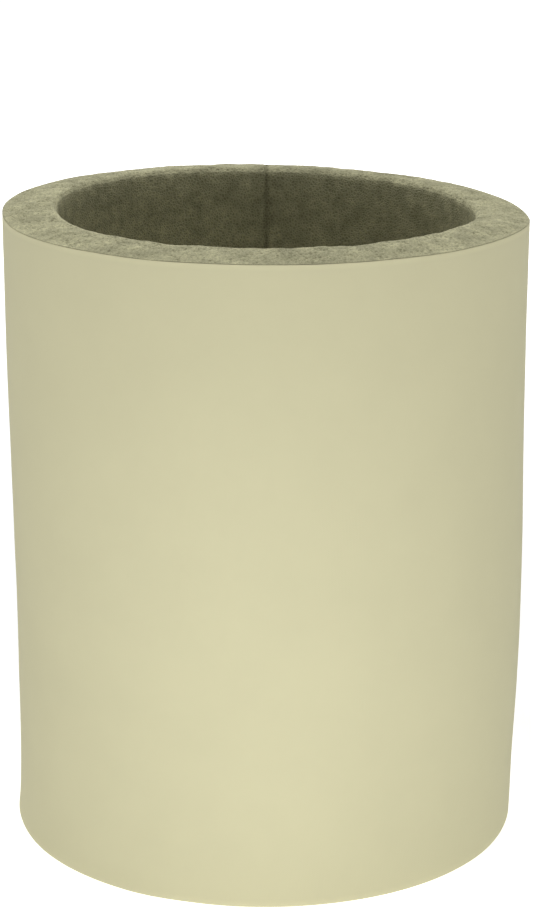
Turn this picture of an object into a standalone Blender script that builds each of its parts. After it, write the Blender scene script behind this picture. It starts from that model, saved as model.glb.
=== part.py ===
"""Thick foam can cooler sleeve, standing on its foot with its mouth up.

A strip of foam with a smooth cloth skin on its outer face is wrapped into a tube and its two
ends are glued edge to edge, which leaves one upright seam at the back. A disc of the same foam
is glued into the lower end and carries what stands in it.

Metres, +Z up. The origin is the middle of the foot, and the seam is on the +Y side.
"""

import math

import bmesh
import bpy

# The standard width that the sleeve is cut to hold, and how easily that slides in.
HELD_DIAMETER = 0.0662
HELD_CLEARANCE = 0.0002

# The wrapped wall: foam, the line of glue, and the cloth skin outside it.
FOAM_THICKNESS = 0.0079
BOND_LINE = 0.0003
SKIN_THICKNESS = 0.0005
WALL_HEIGHT = 0.1016

# Wrapping squeezes the foam along its bore, so its cut face rises from the skin to the mouth.
LIP_RISE = 0.0009
MOUTH_EDGE_RADIUS = 0.0013
CUT_EDGE_RADIUS = 0.0004

# The skin is trimmed level with the foam at the rim, and just clear of the ground at the foot.
SKIN_HEM = 0.0004
SKIN_EDGE_RADIUS = 0.00015

# The base disc, set a little way up inside the foot.
BASE_THICKNESS = 0.009
BASE_RECESS = 0.001
BASE_EDGE_RADIUS = 0.0007

# The glued seam: a slit between the skin's two ends, and a notch in the foam on either face.
SEAM_GAP = 0.0004
SEAM_NOTCH_DEPTH = 0.0006

# How finely round forms are divided. The count round the axis is a multiple of four.
SIDES = 96
MOUTH_STEPS = 5
EDGE_STEPS = 2
CROWN_STEPS = 6
MERGE_DISTANCE = 0.00001

# A cut edge rounds off at most this much of the thickness that it belongs to.
MOST_ROUNDED = 0.4

# How far a cutter runs on past what it cuts.
CUTTER_REACH = 0.001

# Sizes that follow from those above.
BORE_RADIUS = HELD_DIAMETER / 2 + HELD_CLEARANCE
FOAM_RADIUS = BORE_RADIUS + FOAM_THICKNESS
SKIN_INNER_RADIUS = FOAM_RADIUS + BOND_LINE
SKIN_RADIUS = SKIN_INNER_RADIUS + SKIN_THICKNESS
LIP_HEIGHT = WALL_HEIGHT + LIP_RISE
BASE_RADIUS = BORE_RADIUS - BOND_LINE
BASE_TOP = BASE_RECESS + BASE_THICKNESS

# Colours are linear, and chosen by eye for the pale khaki of the real sleeve.
SKIN_COLOUR = (0.64, 0.61, 0.40, 1.0)
FOAM_COLOUR = (0.40, 0.37, 0.24, 1.0)


def clear_scene():
    for old in list(bpy.data.objects):
        bpy.data.objects.remove(old, do_unlink=True)


def new_collection(name):
    collection = bpy.data.collections.new(name)
    bpy.context.scene.collection.children.link(collection)
    return collection


def matte_material(name, colour, roughness):
    material = bpy.data.materials.new(name)
    material.use_nodes = True
    shader = material.node_tree.nodes["Principled BSDF"]
    shader.inputs["Base Color"].default_value = colour
    shader.inputs["Roughness"].default_value = roughness
    shader.inputs["Metallic"].default_value = 0.0
    return material


def rounded(wanted, thickness):
    """The radius of a cut edge, kept within the thickness that it rounds."""
    return min(wanted, MOST_ROUNDED * thickness)


def arc(centre, radius, start_deg, end_deg, steps=EDGE_STEPS):
    """Points on part of a circle in the (radius, height) plane, both ends included."""
    points = []
    for step in range(steps + 1):
        angle = math.radians(start_deg + (end_deg - start_deg) * step / steps)
        points.append(
            (centre[0] + radius * math.cos(angle), centre[1] + radius * math.sin(angle))
        )
    return points


def turned(name, profile, closed, collection, material):
    """An object turned about Z from (radius, height) points that run down its outer side."""
    outline = bmesh.new()
    corners = [outline.verts.new((radius, 0.0, height)) for radius, height in profile]
    for first, second in zip(corners, corners[1:]):
        outline.edges.new((first, second))
    if closed:
        outline.edges.new((corners[-1], corners[0]))
    mesh = bpy.data.meshes.new(name)
    outline.to_mesh(mesh)
    outline.free()
    mesh.materials.append(material)

    piece = bpy.data.objects.new(name, mesh)
    collection.objects.link(piece)
    turn = piece.modifiers.new("turn", "SCREW")
    turn.axis = "Z"
    turn.angle = math.radians(360)
    turn.steps = SIDES
    turn.render_steps = SIDES
    turn.use_merge_vertices = True
    turn.merge_threshold = MERGE_DISTANCE
    turn.use_smooth_shade = True
    return piece


def foam_wall(collection, material):
    """The wrapped foam, glued end to end into one ring, with its raised and rounded mouth."""
    edge = rounded(CUT_EDGE_RADIUS, FOAM_THICKNESS)
    mouth = rounded(MOUTH_EDGE_RADIUS, FOAM_THICKNESS)
    bore_corner = BORE_RADIUS + edge
    outer_corner = FOAM_RADIUS - edge
    crown_start = BORE_RADIUS + mouth
    crown_width = outer_corner - crown_start

    crown = []
    for step in range(1, CROWN_STEPS):
        share = step / CROWN_STEPS
        crown.append(
            (crown_start + crown_width * share, WALL_HEIGHT + LIP_RISE * (1 - share**2))
        )
    crown_slope_deg = math.degrees(math.atan2(2 * LIP_RISE, crown_width))

    profile = (
        crown
        + arc((outer_corner, WALL_HEIGHT - edge), edge, 90 - crown_slope_deg, 0)
        + arc((outer_corner, edge), edge, 0, -90)
        + arc((bore_corner, edge), edge, 270, 180)
        + arc((crown_start, LIP_HEIGHT - mouth), mouth, 180, 90, MOUTH_STEPS)
    )
    return turned("foam_wall", profile, True, collection, material)


def outer_skin(collection, material):
    """The cloth laminated to the foam, as a thin tube with its cut edges barely rounded."""
    edge = rounded(SKIN_EDGE_RADIUS, SKIN_THICKNESS)
    inner = SKIN_INNER_RADIUS + edge
    outer = SKIN_RADIUS - edge
    top = WALL_HEIGHT - edge
    bottom = SKIN_HEM + edge
    profile = (
        arc((outer, top), edge, 90, 0)
        + arc((outer, bottom), edge, 0, -90)
        + arc((inner, bottom), edge, 270, 180)
        + arc((inner, top), edge, 180, 90)
    )
    return turned("outer_skin", profile, True, collection, material)


def base_disc(collection, material):
    """The foam disc that closes the lower end, with its cut edges a little rounded."""
    edge = rounded(BASE_EDGE_RADIUS, BASE_THICKNESS)
    outer = BASE_RADIUS - edge
    profile = (
        [(0.0, BASE_TOP)]
        + arc((outer, BASE_TOP - edge), edge, 90, 0)
        + arc((outer, BASE_RECESS + edge), edge, 0, -90)
        + [(0.0, BASE_RECESS)]
    )
    return turned("base_disc", profile, False, collection, material)


def block_cutter(name, size, location, turn_deg, collection):
    """A box that only cuts. Turned about Z by an eighth of a turn, it leaves a V-shaped notch."""
    bpy.ops.mesh.primitive_cube_add(size=1.0)
    cutter = bpy.context.active_object
    cutter.name = name
    cutter.scale = size
    bpy.ops.object.transform_apply(location=False, rotation=False, scale=True)
    cutter.rotation_euler = (0.0, 0.0, math.radians(turn_deg))
    cutter.location = location
    for owner in list(cutter.users_collection):
        owner.objects.unlink(cutter)
    collection.objects.link(cutter)
    cutter.hide_render = True
    cutter.display_type = "WIRE"
    return cutter


def cut(piece, cutter):
    difference = piece.modifiers.new(cutter.name, "BOOLEAN")
    difference.operation = "DIFFERENCE"
    difference.solver = "EXACT"
    difference.object = cutter


def cut_seam(wall, skin, collection):
    """Opens the skin along the seam, and notches the foam where its two ends are glued."""
    middle = LIP_HEIGHT / 2
    length = LIP_HEIGHT + 2 * CUTTER_REACH
    slit = block_cutter(
        "skin_slit_cutter",
        (SEAM_GAP, SKIN_THICKNESS + 2 * CUTTER_REACH, length),
        (0.0, (SKIN_INNER_RADIUS + SKIN_RADIUS) / 2, middle),
        0,
        collection,
    )
    cut(skin, slit)

    notch_side = SEAM_NOTCH_DEPTH * math.sqrt(2)
    for name, radius in (("outer_notch_cutter", FOAM_RADIUS), ("bore_notch_cutter", BORE_RADIUS)):
        notch = block_cutter(
            name, (notch_side, notch_side, length), (0.0, radius, middle), 45, collection
        )
        cut(wall, notch)


def main():
    clear_scene()
    parts = new_collection("can_cooler_sleeve")
    cutters = new_collection("cutters")
    skin_cloth = matte_material("skin_cloth", SKIN_COLOUR, 0.8)
    open_foam = matte_material("open_foam", FOAM_COLOUR, 0.95)

    wall = foam_wall(parts, open_foam)
    skin = outer_skin(parts, skin_cloth)
    base_disc(parts, open_foam)
    cut_seam(wall, skin, cutters)


main()
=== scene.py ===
import math

import bmesh
import bpy
from mathutils import Matrix, Vector, noise


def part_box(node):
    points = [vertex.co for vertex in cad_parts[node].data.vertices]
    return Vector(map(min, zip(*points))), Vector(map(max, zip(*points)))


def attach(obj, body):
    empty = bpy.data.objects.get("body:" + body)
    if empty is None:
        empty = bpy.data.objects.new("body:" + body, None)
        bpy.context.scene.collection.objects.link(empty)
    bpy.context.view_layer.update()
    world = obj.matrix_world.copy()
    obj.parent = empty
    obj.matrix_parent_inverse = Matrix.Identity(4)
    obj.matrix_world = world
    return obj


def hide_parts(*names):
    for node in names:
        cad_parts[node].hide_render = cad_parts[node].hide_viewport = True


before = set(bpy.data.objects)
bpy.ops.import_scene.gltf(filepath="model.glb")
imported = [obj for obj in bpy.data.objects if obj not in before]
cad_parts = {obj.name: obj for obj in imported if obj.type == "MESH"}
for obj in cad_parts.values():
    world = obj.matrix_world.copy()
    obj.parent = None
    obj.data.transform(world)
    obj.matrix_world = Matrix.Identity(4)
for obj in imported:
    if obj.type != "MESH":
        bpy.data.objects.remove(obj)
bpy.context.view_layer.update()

# Wrapped foam wall
# A strip of open-celled foam, bent into a ring and glued end to end at the back. Its rim, bore and
# foot are bare knife-cut foam, and the bend squeezes the bore side up into a soft raised mouth.
_, wall_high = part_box("foam_wall")
_, skin_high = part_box("outer_skin")
disc_low, disc_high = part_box("base_disc")
GLUE_LINE = 0.0003
TOUCH_GAP = 0.00005
CLOTH_THICKNESS = 0.00035
BORE_RADIUS = disc_high.x + GLUE_LINE
SKIN_RADIUS = skin_high.x
WALL_RADIUS = SKIN_RADIUS - CLOTH_THICKNESS - TOUCH_GAP
RIM_HEIGHT = skin_high.z
LIP_RISE = wall_high.z - skin_high.z
MOUTH_ROUNDING = 0.0013
CUT_ROUNDING = 0.0001
PROUD_OF_CLOTH = 0.0001

WALL_STEPS = 300
CUT_FACE_SPACING = 0.0008
SMOOTH_FACE_SPACING = 0.003
SPACING_TOLERANCE = 0.01
MERGE_DISTANCE = 0.000001

SEAM_DIP = 0.0003
SEAM_DIP_WIDTH = 0.0016
SEAM_NOTCH_DEPTH = 0.0004
SEAM_NOTCH_HALF_WIDTH = 0.0005
PUCKER_DEPTH = 0.00012
PUCKER_WIDTH = 0.005
PUCKER_LENGTH = 0.03

# The share of painted cell shade laid evenly over the skived bore.
BORE_CELL_SHADE = 0.35
UNEVEN_CUT = 0.00014
UNEVEN_CUT_SIZE = 0.0023
LIFT_ZONE = 0.008
EDGE_WIDTH = 0.0006
EDGE_SPREAD = 0.00037
EDGE_REST = 0.00002


def eased(value, low, high):
    """0 below low and 1 above high, with a smooth rise between."""
    share = min(max((value - low) / (high - low), 0.0), 1.0)
    return share * share * (3 - 2 * share)


# The soft sleeve bows to the right at a third of its height and swells a little here and there.
BOW = 0.00069
BOW_HEIGHT = 0.035
BOW_SPREAD = 0.030
LEFT_SHIFT = 0.0002
FULLNESS = 0.00004
SWELL = 0.00007
SWELL_SIZE = 0.019
SMALL_SWELL = 0.3
SMALL_SWELL_SIZE = 0.007
SEAM_PEAK = 0.0003
SEAM_PEAK_WIDTH = 0.011

# It is drawn in just above the foot, and flares at the foot itself, most of all at the left.
WAIST_DEPTH = 0.00035
WAIST_HEIGHT = 0.009
WAIST_SPREAD = 0.0126
FLARE = 0.00015
FLARE_HEIGHT = 0.0025
LEFT_FLARE = 0.0004
LEFT_PART = (0.25, 0.5)
SIDE_TUCK = 0.0003
SIDE_PART = (0.8, 1.0)

# Its rim dips at the right, stands up at the left, rises at the back and ripples all round.
RIM_ZONE = 0.03
RIM_SLANT = 0.0008
SLANT_PART = (-0.02, 0.004)
RIM_RISE = 0.00045
RISE_TO_RIGHT = 0.4
RIPPLE = 0.00012
RIPPLE_SIZE = 0.011


def settled(point):
    """Where a point of the true round form lies on the soft sleeve, which leans and tucks in."""
    height = point.z
    radius = math.hypot(point.x, point.y)
    outward = min(max((radius - BORE_RADIUS) / (SKIN_RADIUS - BORE_RADIUS), 0.0), 1.0)
    bow = BOW * math.exp(-(((height - BOW_HEIGHT) / BOW_SPREAD) ** 2)) - LEFT_SHIFT
    grow = FULLNESS - WAIST_DEPTH * math.exp(-(((height - WAIST_HEIGHT) / WAIST_SPREAD) ** 2))
    small_swell = SMALL_SWELL * noise.noise(point / SMALL_SWELL_SIZE)
    grow += SWELL * (noise.noise(point / SWELL_SIZE) + small_swell)
    if point.y > 0:
        grow += SEAM_PEAK * math.exp(-((point.x / SEAM_PEAK_WIDTH) ** 2))
    near_rim = eased(height, RIM_HEIGHT - RIM_ZONE, RIM_HEIGHT)
    ripple = RIPPLE * noise.noise(Vector((point.x, point.y, 0.0)) / RIPPLE_SIZE)

    moved = point.copy()
    if radius > 0:
        rightwards = point.x / radius
        backwards = max(point.y / radius, 0.0)
        slant = -RIM_SLANT * rightwards * eased(point.y, *SLANT_PART)
        rise = RIM_RISE * backwards * (1 + RISE_TO_RIGHT * rightwards)
        moved.z += near_rim * (slant + rise + ripple)
        left_flare = LEFT_FLARE * eased(-rightwards, *LEFT_PART)
        flare = FLARE + left_flare - SIDE_TUCK * eased(abs(rightwards), *SIDE_PART)
        grow += flare * math.exp(-height / FLARE_HEIGHT)
        moved.x *= 1 + outward * grow / radius
        moved.y *= 1 + outward * grow / radius
    moved.x += bow
    return moved


def seam_dip(point):
    """How far the two glued ends turn in beside the seam, at the back."""
    return SEAM_DIP * math.exp(-((point.x / SEAM_DIP_WIDTH) ** 2)) if point.y > 0 else 0.0


def turned(outline, steps):
    """Turns a wire outline, which starts at the back, into one closed form round Z."""
    bmesh.ops.spin(
        outline,
        geom=outline.verts[:] + outline.edges[:],
        cent=(0.0, 0.0, 0.0),
        axis=(0.0, 0.0, 1.0),
        angle=math.tau,
        steps=steps,
        use_merge=True,
        use_duplicate=False,
    )
    bmesh.ops.remove_doubles(outline, verts=outline.verts[:], dist=MERGE_DISTANCE)
    bmesh.ops.recalc_face_normals(outline, faces=outline.faces[:])


def divided(outline, spacing_of):
    """Divides each long edge of a wire outline to the spacing that its middle asks for."""
    for edge in list(outline.edges):
        first, second = edge.verts
        middle = (first.co + second.co) / 2
        cuts = math.ceil(edge.calc_length() / spacing_of(middle) - SPACING_TOLERANCE) - 1
        if cuts > 0:
            bmesh.ops.subdivide_edges(outline, edges=[edge], cuts=cuts)


def refined(form, cuts, wanted):
    """Cuts up each edge of the faces whose middle is wanted."""
    faces = [face for face in form.faces if wanted(face.calc_center_median())]
    edges = {edge for face in faces for edge in face.edges}
    bmesh.ops.subdivide_edges(form, edges=list(edges), cuts=cuts, use_grid_fill=True)


# The cells of the foam are bubbles with thin struts between them, deeper in some clumps.
CELL_SIZE = 0.00068
CELL_DEPTH = 0.0002
CELL_SLOPE = (0.08, 0.6)
CLUMP_SIZE = 0.0018
CLUMP_MEAN = 0.75
CLUMP_SWING = 0.5


def open_cell(point):
    """How deep in an open cell of the cut foam a point lies, from 0 on a strut to 1."""
    distances, _ = noise.voronoi(point / CELL_SIZE)
    clump = CLUMP_MEAN + CLUMP_SWING * noise.noise(point / CLUMP_SIZE)
    return min(eased(distances[1] - distances[0], *CELL_SLOPE) * clump, 1.0)


def finished(name, form, *materials):
    """Makes the piece's object at the origin, shaded smooth, with its materials."""
    mesh = bpy.data.meshes.new(name)
    form.to_mesh(mesh)
    form.free()
    mesh.shade_smooth()
    for material in materials:
        mesh.materials.append(material)
    piece = bpy.data.objects.new(name, mesh)
    bpy.context.scene.collection.objects.link(piece)
    return piece


def add_node(tree, kind, **values):
    """A node with its settings and input sockets given by name, with _ for a space."""
    node = tree.nodes.new(kind)
    for name, value in values.items():
        if hasattr(node, name):
            setattr(node, name, value)
        else:
            node.inputs[name.replace("_", " ")].default_value = value
    return node


wall_form = bmesh.new()
corners = [
    wall_form.verts.new((0.0, radius, height))
    for radius, height in (
        (BORE_RADIUS, RIM_HEIGHT),
        (WALL_RADIUS, RIM_HEIGHT),
        (WALL_RADIUS, 0.0),
        (BORE_RADIUS, 0.0),
    )
]
for first, second in zip(corners, corners[1:] + corners[:1]):
    wall_form.edges.new((first, second))
for rounded_corners, rounding, segments in (
    (corners[:1], MOUTH_ROUNDING, 3),
    (corners[1:], CUT_ROUNDING, 2),
):
    bmesh.ops.bevel(
        wall_form,
        geom=rounded_corners,
        offset=rounding,
        segments=segments,
        profile=0.5,
        affect="VERTICES",
        material=-1,
    )


def wall_spacing(middle):
    """Fine on the cut faces of the rim and foot, and wide on the bore and the glued face."""
    at_cut = middle.z > RIM_HEIGHT - CUT_ROUNDING or middle.z < CUT_ROUNDING
    return CUT_FACE_SPACING if at_cut else SMOOTH_FACE_SPACING


divided(wall_form, wall_spacing)
turned(wall_form, WALL_STEPS)
inside_corner = WALL_RADIUS - CUT_ROUNDING
mouth_start = RIM_HEIGHT - MOUTH_ROUNDING
refined(
    wall_form,
    cuts=3,
    wanted=lambda middle: middle.z > mouth_start and middle.xy.length < inside_corner,
)
refined(
    wall_form,
    cuts=1,
    wanted=lambda middle: middle.z < CUT_ROUNDING and middle.xy.length < inside_corner,
)
wall_form.normal_update()

# The knife-cut faces have deep cells. The bore is skived smooth, and the glued face is whole.
# The edge of the rim is closed up, spreads over the cloth's cut edge and rounds down on to it.
painted_cell_shade = wall_form.verts.layers.float.new("open_cell")
crown_start = BORE_RADIUS + MOUTH_ROUNDING
crown_width = WALL_RADIUS - CUT_ROUNDING - crown_start
for vertex in wall_form.verts:
    place = vertex.co
    radius = place.xy.length
    in_bore = 1 - eased(radius, BORE_RADIUS, BORE_RADIUS + MOUTH_ROUNDING)
    in_bore *= 1 - eased(place.z, mouth_start, RIM_HEIGHT)
    bare = 1 - eased(radius, inside_corner, WALL_RADIUS)
    cut_face = bare * (1 - in_bore)
    at_rim = place.z > RIM_HEIGHT - CUT_ROUNDING / 2
    near_edge = at_rim * eased(radius, inside_corner - EDGE_WIDTH, inside_corner)
    cell = open_cell(place) * cut_face * (1 - near_edge)

    from_seam = abs(place.x) / SEAM_NOTCH_HALF_WIDTH
    in_notch = max(1 - from_seam, 0.0) if place.y > 0 else 0.0
    along = Vector((place.x, place.y, place.z * PUCKER_WIDTH / PUCKER_LENGTH))
    pucker = PUCKER_DEPTH * noise.noise(along / PUCKER_WIDTH)
    depth = cell * CELL_DEPTH + in_notch * SEAM_NOTCH_DEPTH + bare * pucker
    depth += cut_face * UNEVEN_CUT * noise.noise(place / UNEVEN_CUT_SIZE)
    depth += (1 - bare) * seam_dip(place)
    if place.z < CUT_ROUNDING:
        depth = max(depth, 0.0)

    share = min(max((radius - crown_start) / crown_width, 0.0), 1.0)
    lift = PROUD_OF_CLOTH + LIP_RISE * (1 - share**2)
    lift *= eased(place.z, RIM_HEIGHT - LIFT_ZONE, RIM_HEIGHT)
    # The open_cell attribute carries painted shade for the colour: the cells' depth on the cut
    # faces, an even share over the bore, and the whole seam notch.
    vertex[painted_cell_shade] = max(cell + BORE_CELL_SHADE * in_bore, in_notch)

    spread = place.xy.normalized().to_3d() * near_edge * EDGE_SPREAD
    moved = place - vertex.normal * depth + spread + Vector((0.0, 0.0, lift))
    if near_edge > 0 and moved.xy.length > WALL_RADIUS:
        over_cloth = min((moved.xy.length - WALL_RADIUS) / (SKIN_RADIUS - WALL_RADIUS), 1.0)
        still_proud = (PROUD_OF_CLOTH - EDGE_REST) * math.sqrt(1 - over_cloth**2)
        moved.z = RIM_HEIGHT + EDGE_REST + still_proud
    vertex.co = moved
for vertex in wall_form.verts:
    vertex.co = settled(vertex.co)

# Soft patches of paler and darker tone, which both the foam and the cloth have.
mottle = bpy.data.node_groups.new("mottle", "ShaderNodeTree")
mottle.interface.new_socket("Patch Size", in_out="INPUT", socket_type="NodeSocketFloat")
mottle.interface.new_socket("Strength", in_out="INPUT", socket_type="NodeSocketFloat")
mottle.interface.new_socket("Colour", in_out="INPUT", socket_type="NodeSocketColor")
mottle.interface.new_socket("Colour", in_out="OUTPUT", socket_type="NodeSocketColor")
given = mottle.nodes.new("NodeGroupInput")
result = mottle.nodes.new("NodeGroupOutput")
place = add_node(mottle, "ShaderNodeTexCoord")
per_metre = add_node(mottle, "ShaderNodeMath", operation="DIVIDE")
per_metre.inputs[0].default_value = 1.0
patches = add_node(mottle, "ShaderNodeTexNoise", Detail=3.0, Roughness=0.55)
tone = add_node(mottle, "ShaderNodeMapRange", From_Min=0.3, From_Max=0.7)
darkest = add_node(mottle, "ShaderNodeMath", operation="SUBTRACT")
darkest.inputs[0].default_value = 1.0
palest = add_node(mottle, "ShaderNodeMath", operation="ADD")
palest.inputs[0].default_value = 1.0
toned = add_node(mottle, "ShaderNodeVectorMath", operation="SCALE")
mottle.links.new(given.outputs["Patch Size"], per_metre.inputs[1])
mottle.links.new(place.outputs["Object"], patches.inputs["Vector"])
mottle.links.new(per_metre.outputs[0], patches.inputs["Scale"])
mottle.links.new(given.outputs["Strength"], darkest.inputs[1])
mottle.links.new(given.outputs["Strength"], palest.inputs[1])
mottle.links.new(patches.outputs["Fac"], tone.inputs["Value"])
mottle.links.new(darkest.outputs[0], tone.inputs["To Min"])
mottle.links.new(palest.outputs[0], tone.inputs["To Max"])
mottle.links.new(given.outputs["Colour"], toned.inputs[0])
mottle.links.new(tone.outputs["Result"], toned.inputs["Scale"])
mottle.links.new(toned.outputs[0], result.inputs["Colour"])

# Bare foam: paler struts round open cells darkened with painted shade, coarse ones in the mesh and
# fine ones here.
STRUT_COLOUR = (0.615, 0.592, 0.374, 1.0)
# The dark colour below is painted shade in the cells' hollows.
CELL_SHADE_COLOUR = (0.18, 0.172, 0.103, 1.0)
COARSE_SHARE = 0.55
FINE_SHARE = 0.33
FINE_CELLS_PER_METRE = 2100.0

open_foam = bpy.data.materials.new("open_foam")
open_foam.use_nodes = True
tree = open_foam.node_tree
shader = tree.nodes["Principled BSDF"]
shader.inputs["Roughness"].default_value = 0.95
shader.inputs["Specular IOR Level"].default_value = 0.15
place = add_node(tree, "ShaderNodeTexCoord")
fine_cells = add_node(
    tree, "ShaderNodeTexVoronoi", feature="DISTANCE_TO_EDGE", Scale=FINE_CELLS_PER_METRE
)
fine_pits_and_shade = add_node(tree, "ShaderNodeMapRange", From_Min=0.02, From_Max=0.26)
coarse_cell_shade = add_node(tree, "ShaderNodeAttribute", attribute_name="open_cell")
# Painted shade: the colour is mixed towards the dark one by how deep in a cell a point lies.
cell_shade = add_node(tree, "ShaderNodeMath", operation="MULTIPLY_ADD", use_clamp=True)
cell_shade.inputs[1].default_value = COARSE_SHARE
fine_part = add_node(tree, "ShaderNodeMath", operation="MULTIPLY")
fine_part.inputs[1].default_value = FINE_SHARE
colour = add_node(tree, "ShaderNodeMix", data_type="RGBA", A=STRUT_COLOUR, B=CELL_SHADE_COLOUR)
fine_mottle = add_node(tree, "ShaderNodeGroup", node_tree=mottle, Patch_Size=0.0012, Strength=0.1)
broad_mottle = add_node(tree, "ShaderNodeGroup", node_tree=mottle, Patch_Size=0.0028, Strength=0.2)
dye_drift = add_node(tree, "ShaderNodeGroup", node_tree=mottle, Patch_Size=0.05, Strength=0.14)
height = add_node(tree, "ShaderNodeMath", operation="SUBTRACT")
height.inputs[0].default_value = 1.0
bump = add_node(tree, "ShaderNodeBump", Strength=0.7, Distance=0.0001)
tree.links.new(place.outputs["Object"], fine_cells.inputs["Vector"])
tree.links.new(fine_cells.outputs["Distance"], fine_pits_and_shade.inputs["Value"])
tree.links.new(coarse_cell_shade.outputs["Fac"], cell_shade.inputs[0])
tree.links.new(fine_pits_and_shade.outputs["Result"], fine_part.inputs[0])
tree.links.new(fine_part.outputs[0], cell_shade.inputs[2])
tree.links.new(cell_shade.outputs[0], colour.inputs["Factor"])
tree.links.new(colour.outputs["Result"], fine_mottle.inputs["Colour"])
tree.links.new(fine_mottle.outputs["Colour"], broad_mottle.inputs["Colour"])
tree.links.new(broad_mottle.outputs["Colour"], dye_drift.inputs["Colour"])
tree.links.new(dye_drift.outputs["Colour"], shader.inputs["Base Color"])
tree.links.new(fine_pits_and_shade.outputs["Result"], height.inputs[1])
tree.links.new(height.outputs[0], bump.inputs["Height"])
tree.links.new(bump.outputs["Normal"], shader.inputs["Normal"])

wrapped_foam = finished("wrapped_foam", wall_form, open_foam)
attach(wrapped_foam, "root")
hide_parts("foam_wall")

# Cloth skin
# A fine smooth knit, laminated to the foam while both are flat and rolled with it, so it ends in
# a butt seam at the back. It is knife-cut at rim and foot, and a painted highlight makes it a
# little paler close to the rim, where its rounded top edge would catch the light.
SEAM_SLIT = 0.0004
SKIN_COLUMNS = 380
SKIN_ROWS = 96
COLUMN_CROWDING = 0.72
SKIN_COLOUR = (0.673, 0.641, 0.415, 1.0)
EDGE_COLOUR = (0.62, 0.59, 0.385, 1.0)
WALE_PITCH = 0.0004
COURSE_PITCH = 0.8 * WALE_PITCH
CLOTH_EDGE_ROUNDING = 0.00004
# Painted highlight: a band just below the rim is made 9% paler.
HIGHLIGHT_BAND_START = 0.0010
HIGHLIGHT_BAND_END = 0.0003
HIGHLIGHT_BAND_GAIN = 1.09

skin_width = math.tau * SKIN_RADIUS - SEAM_SLIT
skin_height = RIM_HEIGHT - TOUCH_GAP
skin_form = bmesh.new()
knit_map = skin_form.loops.layers.uv.new("knit")
bmesh.ops.create_grid(skin_form, x_segments=SKIN_COLUMNS, y_segments=SKIN_ROWS, size=0.5)
for vertex in skin_form.verts:
    across = 2 * vertex.co.x
    crowded = across + COLUMN_CROWDING * math.sin(math.pi * across) / math.pi
    vertex.co = Vector(
        (crowded * skin_width / 2, (vertex.co.y + 0.5) * skin_height + TOUCH_GAP, 0.0)
    )
for face in skin_form.faces:
    for loop in face.loops:
        loop[knit_map].uv = loop.vert.co.xy
for vertex in skin_form.verts:
    angle = vertex.co.x / SKIN_RADIUS
    round_place = Vector((math.sin(angle), -math.cos(angle), 0.0)) * SKIN_RADIUS
    inwards = round_place.normalized() * seam_dip(round_place)
    vertex.co = settled(round_place - inwards + Vector((0.0, 0.0, vertex.co.y)))

skin_cloth = bpy.data.materials.new("skin_cloth")
skin_cloth.use_nodes = True
tree = skin_cloth.node_tree
shader = tree.nodes["Principled BSDF"]
shader.inputs["Roughness"].default_value = 0.8
shader.inputs["Specular IOR Level"].default_value = 0.22
flat_place = add_node(tree, "ShaderNodeUVMap", uv_map="knit")
stitch_scale = (math.tau / WALE_PITCH, math.tau / COURSE_PITCH, 1.0)
knit = add_node(tree, "ShaderNodeMapping", Scale=stitch_scale)
axes = add_node(tree, "ShaderNodeSeparateXYZ")
wales = add_node(tree, "ShaderNodeMath", operation="SINE")
courses = add_node(tree, "ShaderNodeMath", operation="SINE")
stitches = add_node(tree, "ShaderNodeMath", operation="MULTIPLY")
bump = add_node(tree, "ShaderNodeBump", Strength=0.25, Distance=0.00002)
skin_mottle = add_node(
    tree,
    "ShaderNodeGroup",
    node_tree=mottle,
    Patch_Size=0.012,
    Strength=0.012,
    Colour=SKIN_COLOUR,
)
flat_axes = add_node(tree, "ShaderNodeSeparateXYZ")
# Painted highlight on the band just below the rim.
painted_rim_highlight = add_node(
    tree,
    "ShaderNodeMapRange",
    interpolation_type="SMOOTHSTEP",
    From_Min=skin_height - HIGHLIGHT_BAND_START,
    From_Max=skin_height - HIGHLIGHT_BAND_END,
    To_Min=1.0,
    To_Max=HIGHLIGHT_BAND_GAIN,
)
cloth_tone_and_highlight = add_node(tree, "ShaderNodeVectorMath", operation="SCALE")
tree.links.new(flat_place.outputs["UV"], knit.inputs["Vector"])
tree.links.new(knit.outputs["Vector"], axes.inputs["Vector"])
tree.links.new(axes.outputs["X"], wales.inputs[0])
tree.links.new(axes.outputs["Y"], courses.inputs[0])
tree.links.new(wales.outputs[0], stitches.inputs[0])
tree.links.new(courses.outputs[0], stitches.inputs[1])
tree.links.new(stitches.outputs[0], bump.inputs["Height"])
tree.links.new(bump.outputs["Normal"], shader.inputs["Normal"])
tree.links.new(flat_place.outputs["UV"], flat_axes.inputs["Vector"])
tree.links.new(flat_axes.outputs["Y"], painted_rim_highlight.inputs["Value"])
tree.links.new(skin_mottle.outputs["Colour"], cloth_tone_and_highlight.inputs[0])
tree.links.new(painted_rim_highlight.outputs["Result"], cloth_tone_and_highlight.inputs["Scale"])
tree.links.new(cloth_tone_and_highlight.outputs["Vector"], shader.inputs["Base Color"])

cut_edge = bpy.data.materials.new("cut_cloth_edge")
cut_edge.use_nodes = True
tree = cut_edge.node_tree
shader = tree.nodes["Principled BSDF"]
shader.inputs["Roughness"].default_value = 0.9
edge_mottle = add_node(
    tree,
    "ShaderNodeGroup",
    node_tree=mottle,
    Patch_Size=0.0008,
    Strength=0.05,
    Colour=EDGE_COLOUR,
)
tree.links.new(edge_mottle.outputs["Colour"], shader.inputs["Base Color"])

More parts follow.
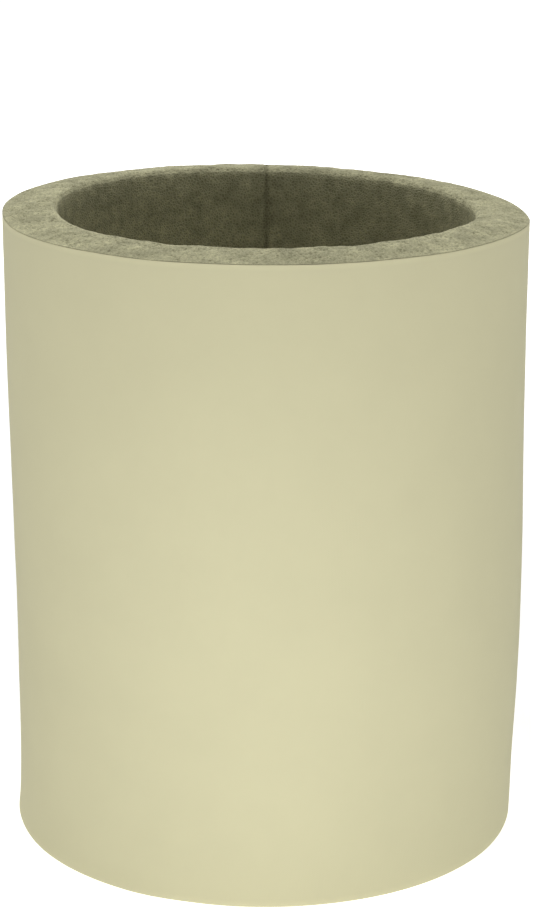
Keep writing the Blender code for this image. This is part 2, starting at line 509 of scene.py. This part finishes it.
cloth_skin = finished("cloth_skin", skin_form, skin_cloth, cut_edge)
thickness = cloth_skin.modifiers.new("thickness", "SOLIDIFY")
thickness.thickness = CLOTH_THICKNESS
thickness.offset = -1.0
thickness.use_even_offset = True
thickness.material_offset_rim = 1
soft_edges = cloth_skin.modifiers.new("soft edges", "BEVEL")
soft_edges.width = CLOTH_EDGE_ROUNDING
soft_edges.segments = 2
soft_edges.profile = 0.5
soft_edges.limit_method = "ANGLE"
soft_edges.angle_limit = math.radians(60)
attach(cloth_skin, "root")
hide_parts("outer_skin")

# Base disc
# A disc punched from the same foam and glued a little way up inside the foot. Both of its faces
# are bare, and its punched edge is pinched slightly round where it meets the wall.
DISC_GRID = 200
DISC_ROUNDING = 0.0007
DISC_RADIUS = BORE_RADIUS - TOUCH_GAP

# A square grid drawn out to a round one, so that the cells of the foam show evenly all over it.
disc_form = bmesh.new()
bmesh.ops.create_grid(disc_form, x_segments=DISC_GRID, y_segments=DISC_GRID, size=1.0)
for vertex in disc_form.verts:
    across, along, _ = vertex.co
    vertex.co.x = DISC_RADIUS * across * math.sqrt(1 - along**2 / 2)
    vertex.co.y = DISC_RADIUS * along * math.sqrt(1 - across**2 / 2)
    vertex.co.z = disc_low.z
thickened = bmesh.ops.extrude_face_region(disc_form, geom=disc_form.faces[:])
upper = [item for item in thickened["geom"] if isinstance(item, bmesh.types.BMVert)]
bmesh.ops.translate(disc_form, verts=upper, vec=(0.0, 0.0, disc_high.z - disc_low.z))
bmesh.ops.recalc_face_normals(disc_form, faces=disc_form.faces[:])
disc_form.normal_update()
painted_cell_shade = disc_form.verts.layers.float.new("open_cell")
disc_middle = (disc_low.z + disc_high.z) / 2
for vertex in disc_form.verts:
    cell = open_cell(vertex.co)
    into_edge = max(vertex.co.xy.length - (DISC_RADIUS - DISC_ROUNDING), 0.0)
    pinch = DISC_ROUNDING - math.sqrt(max(DISC_ROUNDING**2 - into_edge**2, 0.0))
    inwards = -1.0 if vertex.co.z > disc_middle else 1.0
    # The open_cell attribute carries the cells' depth as painted shade for the colour.
    vertex[painted_cell_shade] = cell
    vertex.co.z += inwards * (pinch + cell * CELL_DEPTH)
    vertex.co = settled(vertex.co)

glued_base = finished("glued_base", disc_form, open_foam)
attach(glued_base, "root")
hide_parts("base_disc")

# Floor
# A plain white studio table, wide enough to fill the view and lit softly from below. It glows
# most before the sleeve and close round its foot, and again far off, to run out to white.
FLOOR_RADIUS = 6.0
FLOOR_GAP = 0.0001
NEAR_GLOW = 0.32
FAR_GLOW = 0.72
FAR_GLOW_START = 0.1
FAR_GLOW_END = 0.6
HORIZON_GLOW = 0.13
HORIZON_GLOW_END = 2.0
FRONT_GLOW = 0.75
FRONT_GLOW_PLACE = (0.0, -0.12, 0.0)
FRONT_GLOW_RADIUS = 0.22
FOOT_GLOW = 0.21
FOOT_GLOW_END = 0.058
floor_form = bmesh.new()
bmesh.ops.create_circle(floor_form, cap_ends=True, segments=64, radius=FLOOR_RADIUS)
bmesh.ops.translate(floor_form, verts=floor_form.verts[:], vec=(0.0, 0.0, -FLOOR_GAP))
floor_white = bpy.data.materials.new("floor_white")
floor_white.use_nodes = True
tree = floor_white.node_tree
shader = tree.nodes["Principled BSDF"]
shader.inputs["Base Color"].default_value = (0.9, 0.9, 0.9, 1.0)
shader.inputs["Roughness"].default_value = 0.9
shader.inputs["Specular IOR Level"].default_value = 0.1
shader.inputs["Emission Strength"].default_value = 1.0
place = add_node(tree, "ShaderNodeTexCoord")
distance = add_node(tree, "ShaderNodeVectorMath", operation="LENGTH")
far_glow = add_node(
    tree,
    "ShaderNodeMapRange",
    interpolation_type="SMOOTHSTEP",
    From_Min=FAR_GLOW_START,
    From_Max=FAR_GLOW_END,
    To_Min=NEAR_GLOW,
    To_Max=FAR_GLOW,
)
horizon_glow = add_node(
    tree,
    "ShaderNodeMapRange",
    interpolation_type="SMOOTHSTEP",
    From_Min=FAR_GLOW_END,
    From_Max=HORIZON_GLOW_END,
    To_Min=0.0,
    To_Max=HORIZON_GLOW,
)
back_glow = add_node(tree, "ShaderNodeMath", operation="ADD")
foot_glow = add_node(
    tree,
    "ShaderNodeMapRange",
    interpolation_type="SMOOTHSTEP",
    From_Min=SKIN_RADIUS,
    From_Max=FOOT_GLOW_END,
    To_Min=FOOT_GLOW,
    To_Max=0.0,
)
round_glow = add_node(tree, "ShaderNodeMath", operation="ADD")
to_front = add_node(
    tree,
    "ShaderNodeMapping",
    Location=[-axis / FRONT_GLOW_RADIUS for axis in FRONT_GLOW_PLACE],
    Scale=[1 / FRONT_GLOW_RADIUS] * 3,
)
front_patch = add_node(tree, "ShaderNodeTexGradient", gradient_type="QUADRATIC_SPHERE")
glow = add_node(tree, "ShaderNodeMath", operation="MULTIPLY_ADD")
glow.inputs[1].default_value = FRONT_GLOW
tree.links.new(place.outputs["Object"], distance.inputs[0])
tree.links.new(distance.outputs["Value"], far_glow.inputs["Value"])
tree.links.new(place.outputs["Object"], to_front.inputs["Vector"])
tree.links.new(to_front.outputs["Vector"], front_patch.inputs["Vector"])
tree.links.new(front_patch.outputs["Fac"], glow.inputs[0])
tree.links.new(distance.outputs["Value"], horizon_glow.inputs["Value"])
tree.links.new(distance.outputs["Value"], foot_glow.inputs["Value"])
tree.links.new(far_glow.outputs["Result"], back_glow.inputs[0])
tree.links.new(horizon_glow.outputs["Result"], back_glow.inputs[1])
tree.links.new(back_glow.outputs[0], round_glow.inputs[0])
tree.links.new(foot_glow.outputs["Result"], round_glow.inputs[1])
tree.links.new(round_glow.outputs[0], glow.inputs[2])
tree.links.new(glow.outputs[0], shader.inputs["Emission Color"])
floor = finished("floor", floor_form, floor_white)

# Light
# A dim white room, with a wide soft lamp overhead and smaller, lower ones before, beside and
# behind the sleeve.
ROOM_LIGHT = 0.21
SLEEVE_MIDDLE = (0.0, 0.0, 0.05)
room = bpy.data.worlds.new("pale_room")
room.use_nodes = True
tree = room.node_tree
backdrop = tree.nodes["Background"]
backdrop.inputs["Color"].default_value = (1.0, 1.0, 1.0, 1.0)
ray = add_node(tree, "ShaderNodeLightPath")
seen = add_node(tree, "ShaderNodeMapRange", To_Min=ROOM_LIGHT, To_Max=1.0)
tree.links.new(ray.outputs["Is Camera Ray"], seen.inputs["Value"])
tree.links.new(seen.outputs["Result"], backdrop.inputs["Strength"])
bpy.context.scene.world = room


def soft_lamp(name, place, aim, width, power, spread_deg=180.0):
    """A square area lamp at a place, turned to face the aim, and itself out of sight."""
    lamp = bpy.data.lights.new(name, "AREA")
    lamp.size = width
    lamp.energy = power
    lamp.spread = math.radians(spread_deg)
    holder = bpy.data.objects.new(name, lamp)
    holder.location = place
    holder.rotation_euler = (Vector(aim) - Vector(place)).to_track_quat("-Z", "Y").to_euler()
    holder.visible_camera = False
    bpy.context.scene.collection.objects.link(holder)


soft_lamp("top_lamp", (-0.06, 0.1, 1.2), SLEEVE_MIDDLE, width=0.8, power=6.8)
soft_lamp(
    "front_lamp", (0.0, -0.40, 0.04), (0.0, 0.0, 0.04), width=0.08, power=0.016, spread_deg=36.0
)
soft_lamp("left_lamp", (-1.0, 0.5, 0.3), SLEEVE_MIDDLE, width=0.4, power=0.3)
soft_lamp("right_lamp", (1.0, 0.5, 0.3), SLEEVE_MIDDLE, width=0.4, power=0.35)
soft_lamp("back_lamp", (0.0, 1.0, 0.3), SLEEVE_MIDDLE, width=0.4, power=3.2)

# Camera
# It stands before the sleeve and looks down on it, as the photograph does.
CAMERA_BACK = 0.3815
CAMERA_HEIGHT = 0.1724
CAMERA_PITCH = 0.28425
CAMERA_ROLL = 0.0040
FOCAL_PIXELS = 2410.0
PHOTO_HEIGHT = 910
camera = bpy.data.cameras.new("camera")
camera.sensor_width = 36.0
camera.lens = camera.sensor_width * FOCAL_PIXELS / PHOTO_HEIGHT
camera.clip_start = 0.01
camera_holder = bpy.data.objects.new("camera", camera)
camera_holder.matrix_world = (
    Matrix.Translation((0.0, -CAMERA_BACK, CAMERA_HEIGHT))
    @ Matrix.Rotation(math.pi / 2 - CAMERA_PITCH, 4, "X")
    @ Matrix.Rotation(CAMERA_ROLL, 4, "Z")
)
bpy.context.scene.collection.objects.link(camera_holder)
bpy.context.scene.camera = camera_holder
bpy.context.scene.view_settings.view_transform = "Standard"
